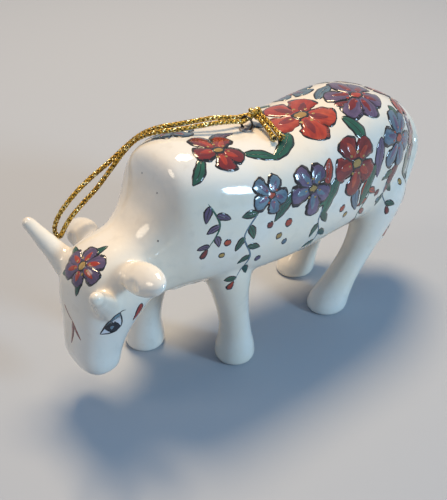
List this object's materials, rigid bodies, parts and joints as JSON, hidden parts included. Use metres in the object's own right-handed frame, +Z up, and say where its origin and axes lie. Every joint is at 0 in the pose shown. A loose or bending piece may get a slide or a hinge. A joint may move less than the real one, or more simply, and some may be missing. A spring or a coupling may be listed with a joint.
{
  "type": "hanging cow ornament",
  "caption": "Glazed ceramic cow grazing with its head down, painted with flowers and leaves, hung by a braided gold cord loop through a wire eye in its back.",
  "frame": {"origin": "on the surface that the feet stand on, under the middle of the box around cow and wire eye", "axes": "+X to the cow's head, +Y to the cow's left side, +Z up"},
  "size_m": [0.0815, 0.0294, 0.046],
  "materials": {
    "glaze": "gloss",
    "wire": "dark oxidised",
    "cement": "matte",
    "cord": "metallic thread"
  },
  "bodies": {
    "cow": {"torso": "glaze", "head": "glaze", "leg_front_left": "glaze", "leg_front_right": "glaze", "leg_rear_left": "glaze", "leg_rear_right": "glaze", "horn_left": "glaze", "horn_right": "glaze", "ear_left": "glaze", "ear_right": "glaze", "tail": "glaze", "hanger_eye": "wire", "eye_cement": "cement", "cord_knot": "cord", "cord_pass_eye": "cord", "cord_pass_side": "cord", "cord_end_a": "cord", "cord_end_b": "cord"},
    "loop": {"cord_loop": "cord"}
  },
  "joints": [
    {"name": "loop_swing", "type": "hinge", "parent": "cow", "child": "loop", "pos_m": [0.0046, 0, 0.0446], "axis": [0, -1, 0], "range_deg": [0, 90]}
  ]
}
